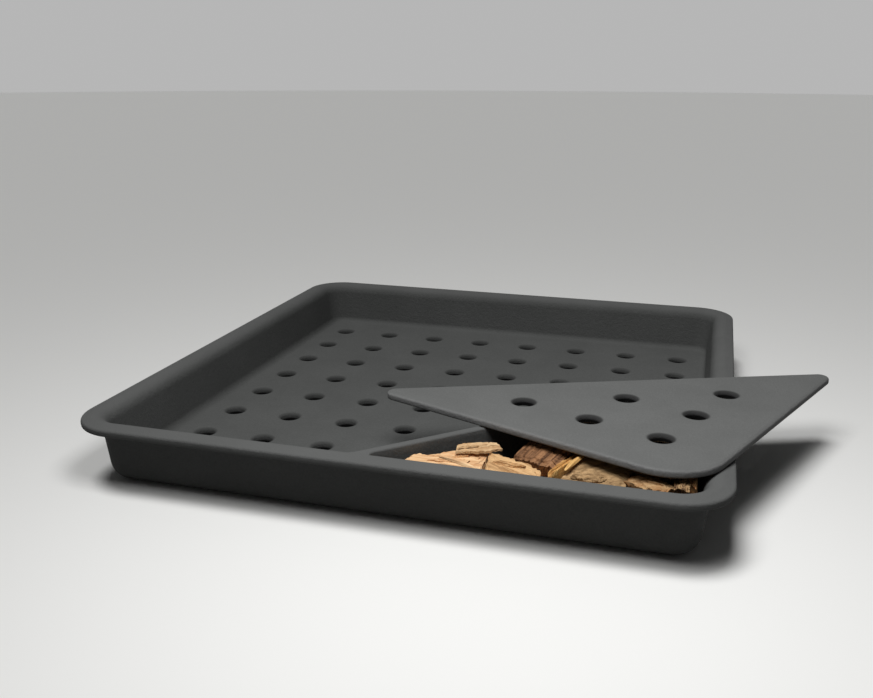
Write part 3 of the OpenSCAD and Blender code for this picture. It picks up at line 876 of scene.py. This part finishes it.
def add_chip(shell, outline, size, rng, form, turn=0.0, shift=(0.0, 0.0, 0.0)):
    """Adds one split piece, which lies along X with its base at height 0 before it is turned and moved. Rows
    run along the length, closer at the ends, and each row is a box section between the outline's two chains.
    The upper face is split wood: sharp ridges along the fibres, and two torn steps whose ragged lines run
    along the fibres too. All are smooth random heights that are many across the width and few along the
    length. The sides are ragged, and at the ends each fibre stops short by its own random length."""
    long, wide, thick = size[0] + END_GAIN * form.splinter, size[1], size[2]
    t = (1 - np.cos(np.linspace(0, math.pi, CHIP_ROWS))) / 2
    x = t - 0.5
    y_low, y_high = [np.interp(x, *chain.T) * wide for chain in chains(outline)]
    top_steps = np.linspace(-1, 1, CHIP_TOP_STEPS, endpoint=False)
    side_steps = np.linspace(-1, 1, CHIP_SIDE_STEPS, endpoint=False)
    p = np.concatenate([top_steps, np.ones_like(side_steps), -top_steps, -np.ones_like(side_steps)])
    q = np.concatenate([-np.ones_like(top_steps), side_steps, np.ones_like(top_steps), -side_steps])
    across, height, along = np.broadcast_arrays((p + 1) / 2, (q + 1) / 2, t[:, None])

    side = np.where(p < 0, *(either_way(rng, LEAN, 2) * thick)) * abs(p) * (height - 0.5)
    nick = uneven(rng, along, across, NICKS) * min(NICK_SHARE * wide, NICK_MOST)
    y = (y_low + y_high)[:, None] / 2 + p * (y_high - y_low)[:, None] / 2 + nick * abs(p) + side

    width_share = np.clip((y / wide) + 0.5, 0, 1)
    ridges = 1 - 2 * abs(uneven(rng, along, width_share, RIDGES))
    torn = np.zeros(y.shape)
    for middle, sign in [(rng.uniform(*limits), sign) for limits, sign in TEAR_LIMITS]:
        line = middle + uneven(rng, along, width_share, TEARS)
        torn += ease(sign * (width_share - line) / TEAR_WIDTH)
    slant = either_way(rng, SLANT_ACROSS) * (across - 0.5) + either_way(rng, SLANT_ALONG) * (along - 0.5)
    thin = 1 - END_THINNER * (1 - ease(np.minimum(t, 1 - t) / END_THIN_RUN))[:, None]
    top = thick * thin * (TOP_FULL + slant) + form.relief * (ridges - 1) / 2 - form.terrace * (2 - torn) / 2
    top = np.clip(top, TOP_LEAST * thick, thick)
    bottom = form.relief * BASE_RELIEF * (1 + uneven(rng, along, width_share, BASE_RIDGES))
    z = bottom + height * (top - bottom)

    short = form.splinter * (0.5 + 0.5 * uneven(rng, across, height, FIBRE_ENDS)) ** END_POWER
    short = np.minimum(short, END_MOST * long)
    pull = 1 - ease(along / END_RUN) - ease((along - 1 + END_RUN) / END_RUN)
    shell.tube(np.stack([*turned(x[:, None] * long + short * pull, y, turn), z], -1) + shift)


def chip_shell(outline, size, shards, rng, form):
    """One chip: a slab, and thin shards that are torn half off its upper face, each along the slab but for a
    few degrees."""
    shell = Shell()
    add_chip(shell, outline, size, rng, form)
    long, wide, thick = size
    for n in range(shards):
        part = [side * rng.uniform(*limits) for side, limits in zip(size, SHARD_SIZES)]
        y = (n - (shards - 1) / 2) / shards * SHARD_SPREAD * wide
        shift = (either_way(rng, SHARD_SHIFT) * long, y, SHARD_HEIGHT * thick)
        add_chip(shell, (SPLIT, WEDGE)[n % 2], part, rng, form, either_way(rng, SHARD_TURN), shift)
    return shell


def add_splinter(shell, path, radius):
    """Adds a bent splinter: a quadratic curve from its start past its bend to its end, with a flat oval
    section of ridges that narrows to both ends."""
    t = np.linspace(0, 1, SPLINTER_ROWS)[:, None]
    a, b, c = np.array(path) / 1000
    middle = (1 - t) ** 2 * a + 2 * t * (1 - t) * b + t ** 2 * c
    run = 2 * (1 - t) * (b - a) + 2 * t * (c - b)
    across = np.stack([-run[:, 1], run[:, 0], np.zeros(len(t))], -1)
    across /= np.linalg.norm(across, axis=-1, keepdims=True)
    above = np.cross(run / np.linalg.norm(run, axis=-1, keepdims=True), across)
    turn = np.linspace(0, 2 * math.pi, SPLINTER_STEPS, endpoint=False)
    narrow = SPLINTER_END + (1 - SPLINTER_END) * np.sqrt(1 - (2 * t - 1) ** 2)
    r = radius / 1000 * narrow * (1 + SPLINTER_RIDGE * np.cos(SPLINTER_RIDGES * turn + 2 * t))
    ring_across = (r * np.cos(turn))[..., None] * across[:, None]
    ring_above = (SPLINTER_FLAT * r * np.sin(turn))[..., None] * above[:, None]
    shell.tube(middle[:, None] + (ring_across + ring_above))


def chip_mesh(settings, number, name, outline, from_right, from_front, turn, long, wide,
              roll=0, nod=0, grain=0, shards=0):
    """One chip in its place: tilted a little, set down on its base, turned and moved to its node, and thinner
    by the tilt, so that it stays as high as its node. The points' own coordinates before that are kept,
    turned by the grain, so that the fibres follow the chip."""
    low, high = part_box(name)
    reach, node_height = settings.divider.reach, high.z - low.z
    turn, roll, nod, grain = map(math.radians, (turn, roll, nod, grain))
    rng = np.random.default_rng(settings.chips.seed * 1000 + number)
    rise = (abs(wide * math.sin(roll)) + abs(long * math.sin(nod))) * reach
    thick = node_height - min(TILT_THINNER * rise, TILT_MOST * node_height)
    shell = chip_shell(outline, (long * reach, wide * reach, thick), shards, rng, settings.chips)
    if name in SPLINTERS:
        add_splinter(shell, *SPLINTERS[name])
    mesh = shell.mesh(name + "_wood", FINE_WELD)
    own = positions(mesh)
    along = np.array(Matrix.Rotation(-grain, 3, "Z"))
    mark(mesh, "fibre", own @ along.T + either_way(rng, 1, 3))
    tilt = Matrix.Rotation(roll, 3, "X") @ Matrix.Rotation(nod, 3, "Y")
    x, y, z = (own @ np.array(tilt).T).T
    x, y = turned(x, y, turn)
    x += settings.tray.width / 2 - from_right * reach
    y += from_front * reach - settings.tray.depth / 2
    z = z + (low.z - z.min())
    mesh.vertices.foreach_set("co", np.stack([x, y, z], -1).astype(np.float32).ravel())
    mesh.update()
    smooth(mesh, CHIP_SHARP)
    return mesh


# Materials


# Bands of growth in a metre, of most woods and of the striped one
YEARS = 190.0
CLOSE_YEARS = 640.0


def plug(tree, made, inputs):
    """Sets a node's sockets to values or links them to other sockets. Colours are opaque."""
    for key, value in inputs.items():
        socket = made.inputs[key]
        if isinstance(value, bpy.types.NodeSocket):
            tree.links.new(value, socket)
        elif socket.type == "RGBA":
            socket.default_value = (*value, 1.0)
        else:
            socket.default_value = value


def node(tree, kind, inputs=None, **settings):
    """Adds one node. Settings are its own values; inputs maps its sockets to values or to other sockets."""
    made = tree.nodes.new(kind)
    for key, value in settings.items():
        setattr(made, key, value)
    plug(tree, made, inputs or {})
    return made


def maths(tree, operation, a, b=0.0, clamp=False):
    """Result of one sum on two numbers or sockets."""
    return node(tree, "ShaderNodeMath", {0: a, 1: b}, operation=operation, use_clamp=clamp).outputs[0]


def times(tree, a, b):
    """Product of two numbers or sockets."""
    return maths(tree, "MULTIPLY", a, b)


def weighed(tree, a, share_a, b, share_b):
    """Sum of two values, each times its share."""
    return maths(tree, "ADD", times(tree, a, share_a), times(tree, b, share_b))


def blend(tree, factor, a, b):
    """Colour between a and b."""
    return node(tree, "ShaderNodeMix", {0: factor, 6: a, 7: b}, data_type="RGBA").outputs[2]


def spread(tree, value, low, high, to_low=0.0, to_high=1.0):
    """A value stretched from one range to another and held inside it."""
    limits = {0: value, 1: low, 2: high, 3: to_low, 4: to_high}
    return node(tree, "ShaderNodeMapRange", limits).outputs[0]


def cloud(tree, vector, scale, detail, rough, warp=0.0):
    """Smooth noise from 0 to 1; scale counts its lumps in a metre."""
    inputs = {"Vector": vector, "Scale": scale, "Detail": detail, "Roughness": rough, "Distortion": warp}
    return node(tree, "ShaderNodeTexNoise", inputs).outputs[0]


def bump(tree, strength, depth, height):
    """Normals of a surface that rises and falls by a depth in metres."""
    inputs = {"Strength": strength, "Distance": depth, "Height": height}
    return node(tree, "ShaderNodeBump", inputs).outputs[0]


def marked(tree, name, output="Fac"):
    """Value that was kept on the mesh under a name."""
    return node(tree, "ShaderNodeAttribute", attribute_name=name).outputs[output]


def group(name, inputs, outputs):
    """An empty node group with named sockets, the sockets that come in and the node that they go out by."""
    tree = bpy.data.node_groups.new(name, "ShaderNodeTree")
    for way, sockets in (("INPUT", inputs), ("OUTPUT", outputs)):
        for label, kind in sockets.items():
            tree.interface.new_socket(label, in_out=way, socket_type="NodeSocket" + kind)
    return tree, tree.nodes.new("NodeGroupInput").outputs, tree.nodes.new("NodeGroupOutput")


def material(name):
    """A new material, its node tree and its Principled shader."""
    made = bpy.data.materials.new(name)
    made.use_nodes = True
    return made, made.node_tree, made.node_tree.nodes["Principled BSDF"]


def sand_cast_group():
    """Skin of a sand casting: fine grains, soft lumps and wide mottles, all from noise at three scales."""
    tree, into, out = group("sand_cast_skin", {"Vector": "Vector"},
                            {"Mottle": "Float", "Grain": "Float", "Height": "Float"})
    grains = cloud(tree, into["Vector"], scale=1000.0, detail=3.0, rough=0.65)
    lumps = cloud(tree, into["Vector"], scale=330.0, detail=3.0, rough=0.55)
    mottles = cloud(tree, into["Vector"], scale=26.0, detail=3.0, rough=0.6)
    plug(tree, out, {
        "Mottle": spread(tree, mottles, 0.3, 0.7),
        "Grain": spread(tree, grains, 0.3, 0.7),
        "Height": weighed(tree, grains, 0.45, lumps, 0.55),
    })
    return tree


def cast_iron(name, light, dark, finish):
    """Matt dark iron: two greys mixed by mottles and grains, lighter with rubbing and painted highlights on
    the edges, and black with painted shade in the vent holes, with grainy roughness and bump."""
    made, tree, shader = material(name)
    spot = node(tree, "ShaderNodeTexCoord").outputs["Object"]
    skin_group = bpy.data.node_groups.get("sand_cast_skin") or sand_cast_group()
    skin = node(tree, "ShaderNodeGroup", node_tree=skin_group)
    plug(tree, skin, {"Vector": spot})
    mottle, grain, height = [skin.outputs[key] for key in ("Mottle", "Grain", "Height")]
    grey = blend(tree, times(tree, mottle, 0.5), light, dark)
    grey = blend(tree, times(tree, grain, 0.55), grey, dark)
    # Painted highlight and rubbing: lighter iron by the share marked on the mesh
    rub_sheen = times(tree, marked(tree, "rub_and_sheen"), spread(tree, grain, 0.0, 1.0, 0.35, 0.75))
    rub_sheen = blend(tree, rub_sheen, grey, finish.iron_rub_and_sheen)
    # Painted shade: black in the vent holes, by the share marked on the mesh
    plug(tree, shader, {
        "Base Color": blend(tree, marked(tree, "painted_hole_shade"), rub_sheen, finish.painted_hole_shade),
        "Roughness": spread(tree, grain, 0.0, 1.0, 0.78, 0.90),
        "Normal": bump(tree, 0.9, 0.0007, height),
        "Specular IOR Level": 0.06,
    })
    return made


def wood_fibre_group():
    """Split wood: long thin streaks along X, wider bands of growth across, and sparse dark flecks."""
    tree, into, out = group(
        "wood_fibre",
        {"Vector": "Vector", "Light": "Color", "Dark": "Color", "Bands": "Float", "Years": "Float",
         "Flecks": "Float"},
        {"Color": "Color", "Height": "Float", "Streaks": "Float"})
    drawn = node(tree, "ShaderNodeMapping", {"Vector": into["Vector"], "Scale": (0.05, 1.0, 1.0)}).outputs[0]
    fine = cloud(tree, drawn, scale=1700.0, detail=3.0, rough=0.6, warp=0.3)
    coarse = cloud(tree, drawn, scale=520.0, detail=2.0, rough=0.55, warp=0.4)
    years = cloud(tree, drawn, scale=into["Years"], detail=1.0, rough=0.5, warp=1.2)
    blotch = cloud(tree, into["Vector"], scale=130.0, detail=3.0, rough=0.6)
    streaks = weighed(tree, fine, 0.5, coarse, 0.5)
    lines = spread(tree, streaks, 0.42, 0.6)
    bands = times(tree, spread(tree, years, 0.42, 0.62), into["Bands"])
    dark = maths(tree, "MULTIPLY", weighed(tree, lines, 0.45, bands, 0.7), 1.0, clamp=True)
    tone = blend(tree, dark, into["Light"], into["Dark"])
    fleck = times(tree, spread(tree, blotch, 0.58, 0.72), into["Flecks"])
    plug(tree, out, {
        "Color": blend(tree, fleck, tone, into["Dark"]),
        "Height": maths(tree, "SUBTRACT", 1.0, streaks),
        "Streaks": lines,
    })
    return tree


def wood(name, fibre, light, dark, bands, flecks, years=YEARS):
    """One wood: the shared fibres with this wood's two colours, dull and ridged."""
    made, tree, shader = material(name)
    grain = node(tree, "ShaderNodeGroup", node_tree=fibre)
    plug(tree, grain, {"Vector": marked(tree, "fibre", "Vector"), "Light": light, "Dark": dark,
                       "Bands": bands, "Years": years, "Flecks": flecks})
    plug(tree, shader, {
        "Base Color": grain.outputs["Color"],
        "Roughness": spread(tree, grain.outputs["Streaks"], 0.0, 1.0, 0.72, 0.88),
        "Normal": bump(tree, 0.6, 0.0005, grain.outputs["Height"]),
        "Specular IOR Level": 0.25,
    })
    return made


def woods(f):
    """All woods of the load by name: light and dark colour, strength of the growth bands, strength of the
    flecks, and the number of bands where it isn't the usual one."""
    looks = {
        "pale": (f.pale, f.pale_dark, 0.35, 0.3),
        "cream": (f.cream, f.cream_dark, 0.5, 0.3),
        "tan": (f.tan, f.tan_dark, 0.5, 0.45),
        "ringed": (f.grey, f.tan_dark, 1.1, 0.3),
        "brown": (f.brown, f.brown_dark, 0.9, 0.3),
        # Painted shade: the striped chip takes the darker grey wood as its light colour
        "striped": (f.grey, f.brown_dark, 1.1, 0.0, CLOSE_YEARS),
        "grey": (f.grey, f.grey_dark, 0.5, 0.7),
        "yellow": (f.yellow, f.yellow_dark, 0.5, 0.3),
        "orange": (f.orange, f.orange_dark, 0.6, 0.3),
    }
    fibre = wood_fibre_group()
    return {name: wood(name + "_wood", fibre, *look) for name, look in looks.items()}


# Stage


# Place of the camera, and the directions to its right, upwards and backwards
CAMERA_PLACE = (0.15817, -0.59292, 0.23365)
CAMERA_RIGHT = (0.958892, 0.283761, 0.002497)
CAMERA_UP = (-0.086065, 0.282424, 0.955421)
CAMERA_BACK = (0.270406, -0.916361, 0.295236)
CAMERA_SENSOR = 36.0

# Radius of the stage floor, its rings and the points on each, and the root of the first ring's share
GROUND_REACH = 7.0
GROUND_RINGS = 24
GROUND_STEPS = 96
GROUND_START = 0.02


def ground_mesh():
    """Round floor under the tray: rings of points from the middle outwards, whose radius grows by squares."""
    shell = Shell()
    a = np.linspace(0, 2 * math.pi, GROUND_STEPS, endpoint=False)
    r = np.linspace(GROUND_START, 1, GROUND_RINGS)[:, None, None] ** 2 * GROUND_REACH
    index = shell.add(raised(r * spokes(a), 0.0))
    shell.weave(index, loop=True)
    shell.fan(index[0])
    mesh = shell.mesh("studio_floor", FINE_WELD)
    if mesh.polygons[0].normal.z < 0:
        mesh.flip_normals()
    return mesh


def seen_directly(tree):
    """1 for rays from the camera, from mirrors and through glass, and 0 for light that is thrown about."""
    path = node(tree, "ShaderNodeLightPath").outputs
    mirrored = maths(tree, "ADD", path["Is Glossy Ray"], path["Is Transmission Ray"])
    return maths(tree, "ADD", path["Is Camera Ray"], mirrored, clamp=True)


def ground_material(stage):
    """Pale floor that throws back less light than it shows, and dark with a painted shadow where the tray
    stands on it and shuts it off."""
    made, tree, shader = material("studio_floor")
    pale = blend(tree, seen_directly(tree), stage.bounce, stage.ground)
    spot = node(tree, "ShaderNodeTexCoord").outputs["Object"]
    axes = node(tree, "ShaderNodeSeparateXYZ", {0: spot}).outputs
    # Painted shadow: dark inside the tray's footprint
    inside = times(tree, *[
        maths(tree, "LESS_THAN", maths(tree, "ABSOLUTE", axes[k]), stage.covered * TRAY_HIGH[k])
        for k in (0, 1)])
    plug(tree, shader, {
        "Base Color": blend(tree, inside, pale, stage.under),
        "Roughness": 0.9,
        "Specular IOR Level": 0.1,
    })
    return made


def room_light(stage):
    """Even light of the room, which shows as a plain pale grey behind the object."""
    world = bpy.context.scene.world or bpy.data.worlds.new("Room")
    bpy.context.scene.world = world
    world.use_nodes = True
    tree = world.node_tree
    shown = spread(tree, seen_directly(tree), 0.0, 1.0, stage.sky, stage.backdrop)
    plug(tree, tree.nodes["Background"], {"Color": (1.0, 1.0, 1.0), "Strength": shown})


def add_lamp(name, kind, at, towards, **settings):
    """A lamp at a place, with the direction from what it lights back to it."""
    data = bpy.data.lights.new(name, kind)
    for key, value in settings.items():
        setattr(data, key, value)
    lamp = place(name, data)
    lamp.location = at
    lamp.rotation_euler = towards.to_track_quat("Z", "Y").to_euler()


def lamps(stage):
    """Even soft light from high up, a little from the left and the front, and a weak square light before the
    lid."""
    towards, key = Vector(stage.towards), Vector(stage.key_place)
    add_lamp("ceiling_light", "SUN", towards * 2, towards, energy=stage.ceiling, angle=stage.softness)
    add_lamp("key_light", "AREA", key, key - Vector(stage.key_target), shape="SQUARE", size=stage.key_size,
             energy=stage.key)


def photo_camera(stage):
    """Camera at the place and angle of the photograph."""
    data = bpy.data.cameras.new("Camera")
    data.sensor_fit, data.sensor_width, data.lens = "HORIZONTAL", CAMERA_SENSOR, stage.lens
    data.clip_start, data.clip_end = 0.01, 100.0
    camera = place("Camera", data)
    turn = Matrix((CAMERA_RIGHT, CAMERA_UP, CAMERA_BACK)).transposed()
    camera.matrix_world = Matrix.Translation(CAMERA_PLACE) @ turn.to_4x4()
    bpy.context.scene.camera = camera


# Operators


# Record slots of the woods whose slot has another name
WOOD_SLOTS = {"cream": "pale_wood", "ringed": "tan_wood", "striped": "brown_wood"}


def settings_of(context):
    """The settings that the panel and the operators share."""
    return context.scene.smoker_tray


def show_casting(mesh, rub_and_sheen, hole_shade_share, iron, name):
    """Puts a casting into the scene for the node and on the body of one name, with its rubbing, painted
    highlights and painted shade in the vent holes marked.
    """
    mark(mesh, "rub_and_sheen", rub_and_sheen)
    mark(mesh, "painted_hole_shade", hole_shade_share)
    smooth(mesh, IRON_SHARP)
    show(mesh, iron, name, "cast_iron", name)


class SMOKERTRAY_OT_stage(bpy.types.Operator):
    """Makes the floor, the light and the camera"""

    bl_idname = "smoker_tray.stage"
    bl_label = "Stage"

    def execute(self, context):
        stage = settings_of(context).stage
        context.scene.view_settings.view_transform = "Standard"
        photo_camera(stage)
        mesh = ground_mesh()
        mesh.materials.append(ground_material(stage))
        floor = place("studio_floor", mesh)
        room_light(stage)
        lamps(stage)
        return {"FINISHED"}


class SMOKERTRAY_OT_tray(bpy.types.Operator):
    """Makes the tray casting with its rim, perforated floor and divider"""

    bl_idname = "smoker_tray.tray"
    bl_label = "Tray"

    def execute(self, context):
        settings = settings_of(context)
        p, divider, finish = settings.tray, settings.divider, settings.finish
        form = TrayForm(p)
        body = tray_shell(form, divider).mesh("tray_body")
        mesh = joined("tray_casting", body, divider_shell(form, divider).mesh("tray_divider"))
        middle, holed = form.holes(divider)
        # Painted shade in the depths of the tray's vent holes
        hole_shade_share = painted_hole_shade(mesh, middle[holed], p.hole / 2 + p.hole_round, TRAY_LOW.z, p.floor, TRAY_EDGE_SHADE,
                     HOLE_SHADE_DEPTHS)
        iron = cast_iron("cast_iron", finish.iron, finish.iron_dark, finish)
        show_casting(mesh, tray_rub_and_sheen(form, mesh), hole_shade_share, iron, "tray")
        return {"FINISHED"}


class SMOKERTRAY_OT_lid(bpy.types.Operator):
    """Makes the loose triangular lid with its vent holes"""

    bl_idname = "smoker_tray.lid"
    bl_label = "Lid"

    def execute(self, context):
        settings = settings_of(context)
        finish = settings.finish
        shell, holes = lid_shell(settings.lid, settings)
        mesh = shell.mesh("lid_casting")
        radius = settings.lid.hole / 2 + settings.tray.hole_round
        # Painted shade in the depths of the lid's vent holes
        hole_shade_share = painted_hole_shade(mesh, holes, radius, LID_LOW.z, LID_HIGH.z, LID_EDGE_SHADE,
                     (LID_SHADE_START, HOLE_SHADE_DEPTHS[0]))
        # Painted light: a lighter copy of the iron for the lid
        iron = cast_iron("cast_iron_lid", finish.lid, finish.lid_dark, finish)
        show_casting(mesh, lid_rub_and_sheen(mesh), hole_shade_share, iron, "lid")
        return {"FINISHED"}


class SMOKERTRAY_OT_chips(bpy.types.Operator):
    """Makes the wood chips in the pocket"""

    bl_idname = "smoker_tray.chips"
    bl_label = "Wood chips"

    def execute(self, context):
        settings = settings_of(context)
        kinds = woods(settings.finish)
        for number, (name, kind, *form) in enumerate(CHIPS):
            mesh = chip_mesh(settings, number, name, *form)
            show(mesh, kinds[kind], "tray", WOOD_SLOTS.get(kind, kind + "_wood"), name)
        return {"FINISHED"}


class SMOKERTRAY_PT_panel(bpy.types.Panel):
    """Lists the pieces of the smoker tray"""

    bl_idname = "SMOKERTRAY_PT_panel"
    bl_label = "Smoker tray"
    bl_space_type = "VIEW_3D"
    bl_region_type = "UI"
    bl_category = "Smoker tray"

    def draw(self, context):
        for step in STEPS:
            self.layout.operator(step.bl_idname)


STEPS = (SMOKERTRAY_OT_stage, SMOKERTRAY_OT_tray, SMOKERTRAY_OT_lid, SMOKERTRAY_OT_chips)
CLASSES = (TraySizes, DividerSizes, LidSizes, ChipSizes, Finishes, StageSettings, SmokerTraySettings, *STEPS,
           SMOKERTRAY_PT_panel)


def register():
    for c in CLASSES:
        bpy.utils.register_class(c)
    bpy.types.Scene.smoker_tray = PointerProperty(type=SmokerTraySettings)


def unregister():
    del bpy.types.Scene.smoker_tray
    for c in reversed(CLASSES):
        bpy.utils.unregister_class(c)


def main():
    register()
    bpy.ops.smoker_tray.stage()
    bpy.ops.smoker_tray.tray()
    bpy.ops.smoker_tray.lid()
    bpy.ops.smoker_tray.chips()


if __name__ == "__main__":
    main()
